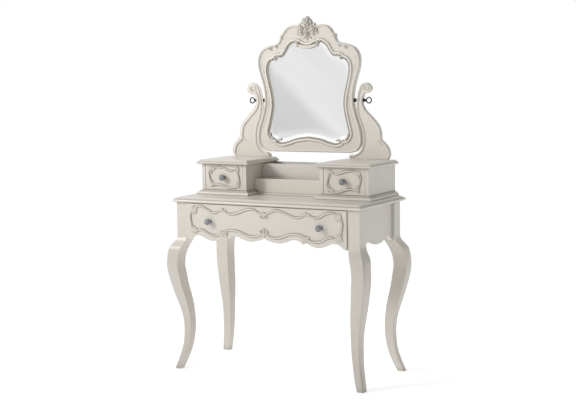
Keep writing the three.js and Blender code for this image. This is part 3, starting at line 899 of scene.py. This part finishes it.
class VANITY_OT_wide_drawer(Operator):
    """Models the wide drawer's scalloped front and its applied carving"""

    bl_idname = "vanity.wide_drawer"
    bl_label = "Wide drawer front"

    def execute(self, context):
        eased_board("wide_drawer_front", "scalloped_drawer_front", painted_wood("x"), "wide_drawer",
                    width=0.0014)
        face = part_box("wide_drawer_front")[0].y / MM
        line = mirrored_loop(smooth_line(WIDE_MOULDING, 5))
        joints = [(side * x, z) for x, z in ((0, 704), (203, 716), (352, 714), (359, 622), (204, 608), (0, 626))
                  for _, side in SIDES]
        strokes = [drawn_line(line, face, joints, 4.3, settings().moulding_height / MM)]
        # hooked ends beside the middle
        half = each(lobe, face, (9, 706, 172, 20, 5.0, 6.4, 74), (20, 714, 196, 18, 4.6, 6.2, 50),
                    (10, 622, 196, 22, 5.0, 6.4, -80), (24, 617, 152, 20, 4.6, 6.2, -46))
        half += each(scroll, face, (12, 697, 6.6, 95, -0.85, 2.8, 6.4), (13, 636, 7.0, -95, 0.85, 2.8, 6.4))
        # upper cusp, lower cusp, upper outer corner and lower outer corner
        half += shell(204, face, 713, ((96, .8, -30), (152, 1.05, 60), (30, 1.05, -55)), 17, 5.2, 6.4)
        half += shell(203, face, 606, ((128, 1.2, 34), (98, 1.1, -8), (66, 1.15, -40), (168, 1, 30),
                                       (12, 1, -26), (240, .34, 20), (300, .34, -20)), 22, 5.8, 6.8)
        half += shell(353, face, 713, ((96, .9, -20), (46, .9, -20), (146, 1, 40), (352, .8, -20),
                                       (300, 1.1, -10), (250, 1, 20), (200, 1, 50)), 19, 6.2, 7.0)
        half += shell(357, face, 623, ((84, 1.15, 20), (132, 1, 30), (178, 1.05, -20), (226, .9, -20),
                                       (276, .7, 0), (326, .75, 20), (30, .8, 30)), 20, 6.2, 7.0)
        middle = each(lobe, face, (0, 697, 90, 22, 7.0, 7.2), (0, 700, 270, 10, 5.0, 6.6),
                      (0, 634, 90, 17, 7.0, 7.4), (0, 637, 270, 27, 7.0, 7.0))
        middle += each(button, face, (0, 699, 4.2, 8.0), (0, 635, 4.4, 8.2))
        carving = carve(strokes + half + flipped(half) + middle, "wide_drawer_carving")
        finish(carving, "wide_drawer", painted_wood("x"), "wide_drawer_moulding")
        return {"FINISHED"}


class VANITY_OT_small_drawers(Operator):
    """Models the fronts of the two small drawers and their applied carving"""

    bl_idname = "vanity.small_drawers"
    bl_label = "Small drawer fronts"

    def execute(self, context):
        line = smooth_line(SMALL_MOULDING, 5)[:-1]
        joints = ((229, 880), (366, 877), (225, 806), (361, 808))
        # inner and outer upper corners, inner and outer lower corners: x, z, and each lobe's heading,
        # share of the length and bend
        corners = (
            (229, 879, (104, .7, 0), (8, 1.3, -30), (262, 1.3, 24), (166, .7, 0), (48, .8, 0), (214, .7, 0)),
            (365, 876, (46, .8, 0), (166, 1.3, 26), (284, 1.3, -24), (104, .8, 0), (228, .8, 0), (346, .6, 0)),
            (226, 807, (228, .7, 0), (346, 1.4, 18), (100, 1.3, -20), (44, .8, 0), (170, .6, 0), (286, .6, 0)),
            (360, 808, (306, .7, 0), (180, 1.3, -24), (78, 1.3, 18), (132, .8, 0), (20, .6, 0), (244, .6, 0)))
        for hand, side in SIDES:
            drawer = f"small_drawer_{hand}"
            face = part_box(f"{drawer}_front")[0].y / MM
            eased_board(f"{drawer}_front", f"pedestal_drawer_front_{hand}", painted_wood("x"), drawer,
                        width=0.0013)
            strokes = [drawn_line(line, face, joints, 4.2, settings().moulding_height / MM, 0.6, 34.0)]
            for x, z, *headings in corners:
                strokes += shell(x, face, z, headings, 16, 5.4, 6.8)
            carving = carve(flipped(strokes) if side < 0 else strokes, f"pedestal_drawer_carving_{hand}")
            finish(carving, drawer, painted_wood("x"), f"{drawer}_moulding")
        return {"FINISHED"}


class VANITY_OT_drawer_boxes(Operator):
    """Eases and finishes the boards of the three drawer boxes"""

    bl_idname = "vanity.drawer_boxes"
    bl_label = "Drawer boxes"

    def execute(self, context):
        for drawer in ("wide_drawer", "small_drawer_left", "small_drawer_right"):
            for part, grain in (("side_left", "y"), ("side_right", "y"), ("back", "x"), ("bottom", "x")):
                eased_board(f"{drawer}_{part}", f"{drawer}_box_{part}", bare_wood(grain), drawer, "bare_wood",
                            **FINE_EDGE)
        return {"FINISHED"}


class VANITY_OT_hutch(Operator):
    """Models the pedestals with their moulded bases and slabs"""

    bl_idname = "vanity.hutch"
    bl_label = "Hutch"

    def execute(self, context):
        for hand, _ in SIDES:
            for kind, edge in (("base", BASE_EDGE), ("slab", SLAB_EDGE)):
                moulded_board(f"hutch_{kind}_{hand}", f"pedestal_{kind}_{hand}", edge, mould_back=False)
            for part in ("outer", "inner"):
                eased_board(f"hutch_{part}_side_{hand}", f"pedestal_{part}_side_{hand}", painted_wood("z"))
        eased_board("hutch_back_panel", "back_panel", painted_wood("x"), **THIN_EDGE)
        return {"FINISHED"}


class VANITY_OT_bins(Operator):
    """Eases and finishes the bins between the pedestals"""

    bl_idname = "vanity.bins"
    bl_label = "Bins"

    def execute(self, context):
        for node in ("bin_floor", "bin_front_low", "bin_front_high"):
            eased_board(node, f"{node}_board", painted_wood("x"))
        return {"FINISHED"}


class VANITY_OT_knobs(Operator):
    """Models the cast knobs, petalled like an opening rose"""

    bl_idname = "vanity.knobs"
    bl_label = "Knobs"

    def execute(self, context):
        for node, body in (("wide_drawer_knob_left", "wide_drawer"), ("wide_drawer_knob_right", "wide_drawer"),
                           ("small_drawer_left_knob", "small_drawer_left"),
                           ("small_drawer_right_knob", "small_drawer_right")):
            low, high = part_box(node)
            middle = (low + high) / 2 / MM
            knob = turned(f"rose_{node}", KNOB, (middle.x, high.y / MM, middle.z), sides=40,
                          lobes=9, lobe_depth=0.03, glaze=KNOB_GLAZE)
            shade(knob, 40)
            finish(knob, body, pewter(), node)
        return {"FINISHED"}


class VANITY_OT_mirror_supports(Operator):
    """Models the scrolled supports with their raised edge"""

    bl_idname = "vanity.mirror_supports"
    bl_label = "Mirror supports"

    def execute(self, context):
        outline = smooth_line(SUPPORT_OUTLINE)
        for hand, side in SIDES:
            node = f"mirror_support_{hand}"
            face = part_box(node)[0].y / MM
            plate = eased_copy(node, f"scrolled_support_{hand}_plate", 0.0022)
            line = [(x, face, z) for x, z in inset_loop(outline, 6.2) if z > 924]
            strokes = [tapering(line, rim_section(outline), 5.8, 4.6, 0.35, 8)]
            strokes += each(scroll, face, (288, 1226, 15, 205, -0.95, 3.4, 3.6, 0.42),
                            (221, 929, 7.5, 100, 0.9, 2.4, 3.2))
            strokes += each(leaf, face, (352, 1004, 205, 26, 5, 3.8, 30), (354, 1008, 130, 22, 4.4, 3.6, -30),
                            (354, 1000, 262, 24, 4.4, 3.6, 40))
            carving = carve(flipped(strokes) if side < 0 else strokes, f"scrolled_support_{hand}_carving")
            support = joined(f"scrolled_support_{hand}", [plate, carving])
            finish(support, "carcass", painted_wood("z"), node)
        return {"FINISHED"}


class VANITY_OT_thumbscrews(Operator):
    """Models the ringed thumbscrews and the bushes they turn in"""

    bl_idname = "vanity.thumbscrews"
    bl_label = "Thumbscrews"

    def execute(self, context):
        ring_radius, wire_radius = 12, 2.6
        for hand, side in SIDES:
            node = f"thumbscrew_{hand}"
            low, high = (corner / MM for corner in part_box(node))
            middle = (low + high) / 2
            tip, far = (low.x, high.x) if side > 0 else (high.x, low.x)
            screw = turned(f"{node}_spindle", [(radius, side * along) for radius, along in SPINDLE],
                           (tip, middle.y, middle.z), "x", 28)
            deselect()
            bpy.ops.mesh.primitive_torus_add(
                major_segments=48, minor_segments=14,
                major_radius=ring_radius * MM, minor_radius=wire_radius * MM,
                location=Vector((far - side * (ring_radius + wire_radius), middle.y, middle.z)) * MM,
                rotation=(math.pi / 2, 0, 0))
            ring = bpy.context.object
            bpy.ops.object.transform_apply(location=True, rotation=True, scale=True)
            whole = joined(f"ringed_thumbscrew_{hand}", [screw, ring])
            shade(whole, 45)
            finish(whole, node, black_iron(), node)
            bush = eased_board(f"pivot_bush_{hand}", f"threaded_bush_{hand}", black_iron(), "mirror",
                               "black_iron", width=0.0006, segments=2)
            shade(bush, 40)
        return {"FINISHED"}


class VANITY_OT_mirror_frame(Operator):
    """Models the frame's board, its raised rim and the moulding round the glass"""

    bl_idname = "vanity.mirror_frame"
    bl_label = "Mirror frame"

    def execute(self, context):
        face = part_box("mirror_frame")[0].y / MM
        board = eased_copy("mirror_frame", "mirror_frame_board", 0.002)
        rim = carve(self.rim(face), "mirror_frame_rim")
        whole = joined("carved_mirror_frame", [board, rim])
        finish(whole, "mirror", painted_wood("z"), "mirror_frame")
        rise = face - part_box("mirror_inner_moulding")[0].y / MM
        moulding = carve(self.sight_moulding(face, rise), "mirror_sight_moulding")
        finish(moulding, "mirror", painted_wood("z"), "mirror_inner_moulding")
        return {"FINISHED"}

    def rim(self, face):
        half = settings().rim_width / MM / 2
        outline = mirrored_loop(smooth_line(FRAME_OUTLINE))
        strokes = [ring_stroke(eased_inset(outline, half + 0.6), face, rim_section(outline), half, 6.6)]
        side_work = []
        for inset, low, high in ((2 * half + 6.5, 1010, 1385), (2 * half + 10.5, 1040, 1350)):
            flute = [(x, face, z) for x, z in inset_loop(outline, inset) if x > 150 and low < z < high]
            side_work.append(tapering(flute, BEAD, 1.4, 1.2, 0.2, 10))
        # the rim curls over at the shoulder and again where the crest starts
        side_work += each(scroll, face, (191, 1404, 7.6, 75, 0.95, 3.7, 7.6),
                          (158, 1412, 6.0, 110, -0.85, 3.2, 7.4), (131, 1453, 5.6, 30, -0.9, 3.0, 7.4))
        return strokes + side_work + flipped(side_work)

    def sight_moulding(self, face, rise):
        sight = mirrored_loop(smooth_line(SIGHT_OUTLINE))
        way = 1 if loop_area(sight) > 0 else -1
        ogee = [(way * out, share * rise, g) for out, share, g in OGEE]
        y = face - SIGHT_LIFT
        # leaves at the lower corners
        half = each(lobe, y, (164, 992, 156, 28, 5.6, 6.4, 26), (173, 995, 26, 24, 5.4, 6.2, 14),
                    (168, 990, 268, 12, 4.8, 5.6), (193, 1008, 60, 22, 5.0, 6.0, 22))
        half += each(button, y, (168, 993, 4.2, 7.0))
        # curls at the upper corners
        half += each(scroll, y, (167, 1357, 8.2, 20, 1.0, 3.2, 6.6), (148, 1370, 6.4, 200, -0.9, 3.0, 6.6))
        half += each(lobe, y, (158, 1366, 80, 14, 5.0, 6.4, 10), (176, 1366, 330, 18, 4.8, 6.2, -40))
        # curls either side of the festoon
        half += each(scroll, y, (51, 1425, 7.2, 150, -1.0, 3.2, 6.8))
        half += each(lobe, y, (46, 1433, 128, 14, 4.8, 6.4, 30), (56, 1433, 40, 15, 4.8, 6.4, -20),
                     (51, 1419, 268, 10, 4.4, 6.0, -16))
        return [ring_stroke(sight, face, ogee, 1.0, 1.0)] + half + flipped(half) + self.festoon(y)

    def festoon(self, y):
        """Two cords that hang across the top of the glass, on a shaped ground."""
        steps = shares(25)
        hang = [(47 * math.sin(t * math.pi / 2), 1410 + 13 * t * t) for t in (2 * step - 1 for step in steps)]
        cords = []
        for drop, section, least, swell, height in (
                (-2.5, GROUND, 1.5, 6.5, 2.2), (1.5, BEAD, 1.87, 1.53, 4.4), (-7.0, BEAD, 1.595, 1.305, 4.4)):
            line = [(x, y, z + drop * (1 - abs(x) / 60)) for x, z in hang]
            widths = [least + swell * math.sin(math.pi * step) for step in steps]
            cords.append((line, section, widths, [height] * len(steps), False))
        return cords


class VANITY_OT_mirror_glass(Operator):
    """Models the bevelled glass and finishes the boards behind it"""

    bl_idname = "vanity.mirror_glass"
    bl_label = "Mirror glass"

    def execute(self, context):
        low, high = (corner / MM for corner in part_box("mirror_glass"))
        sight = mirrored_loop(smooth_line(SIGHT_OUTLINE))
        pane, seen, flat = (resampled(loop, 240) for loop in (
            inset_loop(sight, -6.8), inset_loop(sight, -1.0), mirrored_loop(smooth_line(GLASS_FLAT))))
        rings = [[(x, y, z) for x, z in loop] for loop, y in (
            (pane, high.y), (pane, low.y + 0.95), (seen, low.y + 0.62), (flat, low.y))]
        glass = grow("bevelled_mirror_glass", rings)
        shade(glass, 3)
        finish(glass, "mirror", mirror_glass(), "mirror_glass")
        for node in ("mirror_backing", "mirror_back_cover"):
            eased_board(node, f"{node}_board", bare_wood("z"), "mirror", "bare_wood", **FINE_EDGE)
        return {"FINISHED"}


class VANITY_OT_crown(Operator):
    """Models the carved roses and leaves on the crest of the frame"""

    bl_idname = "vanity.crown"
    bl_label = "Crown of roses"

    def execute(self, context):
        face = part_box("mirror_frame")[0].y / MM
        strokes, mounds = [], []
        for x, z, radius, height, turn in (
                (0, 1513.5, 26, 18, 10), (-29, 1486, 22, 15, 50), (29, 1486, 22, 15, -20),
                (0, 1486, 15, 14, 30), (-3, 1465, 13, 11, 80)):
            mounds.append(self.mound(x, face, z, radius * 0.95, height * 0.72))
            strokes += self.rose(x, face, z, radius, height, turn)
        leaves = each(leaf, face, (26, 1502, 24, 20, 9, 8.0, 20, 0.9), (44, 1494, 24, 13, 8, 8.0, 15, 0.9),
                      (40, 1474, -30, 20, 8, 8.0, 10, 0.9), (24, 1470, -58, 20, 7.5, 8.0, 20, 0.9),
                      (9, 1458, -64, 20, 6, 8.0, 40, 0.9))
        stem = each(leaf, face, (0, 1464, 270, 28, 4.6, 8.5))
        carving = carve(strokes + leaves + flipped(leaves) + stem, "crown_petals")
        crown = joined("crown_of_roses", [carving] + mounds)
        shade(crown, 50)
        finish(crown, "mirror", painted_wood("z"), "crown_carving")
        return {"FINISHED"}

    def mound(self, x, y, z, radius, height):
        """The rounded ground that the petals of one rose stand on."""
        sides = 24
        rings = []
        for step in range(9):
            angle = math.pi / 2 * step / 8.4
            reach = radius * math.cos(angle)
            level = y + ROOT_DEPTH - height * math.sin(angle)
            rings.append([(x + reach * math.cos(2 * math.pi * k / sides), level,
                           z + reach * math.sin(2 * math.pi * k / sides)) for k in range(sides)])
        # glaze and painted shade darken the ground that the petals stand on; its flat back stays light
        return grow("crown_mound", rings, [0.12] + [0.85] * 8)

    def rose(self, x, y, z, radius, height, turn):
        """Petals in three rounds about a curled heart, higher towards the middle."""
        strokes = []
        for petals, reach, lift, width, tall, offset in (
                (5, .74, .12, .27, .50, 0), (4, .42, .55, .22, .42, 40), (2, .17, .85, .14, .26, 15)):
            swells = [math.sin(math.pi * (0.08 + 0.84 * t)) ** 0.6 for t in shares(9)]
            for k in range(petals):
                start = math.radians(turn + offset + 360 * k / petals)
                line = []
                for t in shares(9):
                    angle = start + (t - 0.5) * math.radians(400 / petals)
                    pull = reach * radius * (1 + 0.10 * math.sin(math.pi * t))
                    line.append((x + pull * math.cos(angle), y - lift * height, z + pull * math.sin(angle)))
                strokes.append((line, PETAL, [width * radius * swell for swell in swells],
                                [max(0.4, tall * height * swell) for swell in swells], False))
        strokes.append(scroll(x, y - 0.92 * height, z, radius * 0.13, turn, 1.2, radius * 0.07, height * 0.16))
        return strokes


class VANITY_OT_stage(Operator):
    """Sets up the floor, the studio light and the camera"""

    bl_idname = "vanity.stage"
    bl_label = "Stage"

    def execute(self, context):
        scene = context.scene
        scene.view_settings.view_transform = "Standard"
        self.floor()
        scene.world = bpy.data.worlds.new("studio")
        scene.world.use_nodes = True
        self.sky(Wiring(scene.world.node_tree))
        self.key_light(scene)
        self.camera(scene)
        return {"FINISHED"}

    def floor(self):
        deselect()
        bpy.ops.mesh.primitive_circle_add(vertices=96, radius=FLOOR_RADIUS, fill_type="NGON")
        floor = bpy.context.object
        floor.name = "studio_floor"
        make = Finish("studio_floor")
        dust = make.noise(make.place(), 1.5)
        floor.data.materials.append(make.surface(
            Base_Color=make.mix(dust, (0.88, 0.88, 0.88), (0.91, 0.91, 0.91)), Roughness=0.9,
            Specular_IOR_Level=0.0, Emission_Color=(1, 1, 1), Emission_Strength=FLOOR_GLOW))

    def sky(self, make):
        """A pale room: brighter on the left, dimmer on the right, and white near the floor."""
        where = make.node("ShaderNodeTexCoord")["Generated"]
        split = make.node("ShaderNodeSeparateXYZ", None, {0: where})
        x, y, z = split[0], split[1], split[2]
        clouds = make.noise(where, 3.2, 0.5, 0.5)
        leftward = make.along(clouds * 0.5 + make.dot(where, (-0.9, 0.45, 0)), -0.65, 1.25)
        room = make.ramp(leftward, *((stop, (level, level, level * 0.995)) for stop, level in SKY_STOPS))
        low = make.along(z, 0.14, 0.30, 1.0, 0.0, interpolation_type="SMOOTHSTEP")
        dimmed = make.between(make.along(z, 0.04, 0.14), 1.0, make.along(x, 0.05, 0.8, 1.0, 0.34))
        # the soft bands that the mirror shows lie behind the camera, and not below the floor's edge
        band = make.along(make.dot(where, (1, 0, 1)) + 0.506, -0.16, 0.16)
        shown = make.ramp(band, *REFLECTED_BANDS, interpolation="B_SPLINE")
        seen = make.along(y, 0.0, -0.4) * make.along(z, -0.10, -0.07)
        background = make.tree.nodes["Background"]
        make.feed(background.inputs["Color"], make.mix(low, room, dimmed))
        make.feed(background.inputs["Strength"], make.between(seen, 1.0, shown))

    def key_light(self, scene):
        lamp = bpy.data.lights.new("key", "SPOT")
        lamp.energy = KEY_WATTS
        lamp.spot_size = math.radians(KEY_CONE)
        lamp.spot_blend = 1.0
        lamp.shadow_soft_size = KEY_SOFTNESS
        lamp.color = (1.0, 0.985, 0.965)
        holder = bpy.data.objects.new("key_light", lamp)
        scene.collection.objects.link(holder)
        holder.location = KEY_PLACE
        aim = Vector(KEY_AIM) - Vector(KEY_PLACE)
        holder.rotation_euler = aim.to_track_quat("-Z", "Y").to_euler()

    def camera(self, scene):
        yaw, pitch, roll = (math.radians(angle) for angle in (CAMERA_YAW, CAMERA_PITCH, CAMERA_ROLL))
        ahead = Vector((-math.sin(yaw) * math.cos(pitch), math.cos(yaw) * math.cos(pitch), -math.sin(pitch)))
        level = Vector((math.cos(yaw), math.sin(yaw), 0))
        above = level.cross(ahead)
        right = level * math.cos(roll) + above * math.sin(roll)
        up = above * math.cos(roll) - level * math.sin(roll)
        lens = bpy.data.cameras.new("camera")
        lens.sensor_width = 36
        lens.lens = CAMERA_LENS
        lens.clip_end = 100
        camera = bpy.data.objects.new("camera", lens)
        scene.collection.objects.link(camera)
        turn = Matrix((right, up, -ahead)).transposed().to_4x4()
        camera.matrix_world = Matrix.Translation(CAMERA_PLACE) @ turn
        scene.camera = camera


OPERATORS = (
    VANITY_OT_stage, VANITY_OT_tabletop, VANITY_OT_legs, VANITY_OT_aprons, VANITY_OT_wide_drawer,
    VANITY_OT_small_drawers, VANITY_OT_drawer_boxes, VANITY_OT_hutch, VANITY_OT_bins, VANITY_OT_knobs,
    VANITY_OT_mirror_supports, VANITY_OT_thumbscrews, VANITY_OT_mirror_frame, VANITY_OT_mirror_glass,
    VANITY_OT_crown)


class VANITY_PT_build(Panel):
    """Lists the steps that model the vanity"""

    bl_idname = "VANITY_PT_build"
    bl_label = "Vanity table"
    bl_space_type = "VIEW_3D"
    bl_region_type = "UI"
    bl_category = "Vanity"

    def draw(self, context):
        layout = self.layout
        for name in VanitySettings.__annotations__:
            layout.prop(context.scene.vanity, name)
        for step in OPERATORS:
            layout.operator(step.bl_idname)


CLASSES = (VanitySettings, *OPERATORS, VANITY_PT_build)


def register():
    for item in CLASSES:
        bpy.utils.register_class(item)
    bpy.types.Scene.vanity = PointerProperty(type=VanitySettings)


def unregister():
    del bpy.types.Scene.vanity
    for item in reversed(CLASSES):
        bpy.utils.unregister_class(item)


def main():
    register()
    for step in OPERATORS:
        family, name = step.bl_idname.split(".")
        getattr(getattr(bpy.ops, family), name)()


if __name__ == "__main__":
    main()
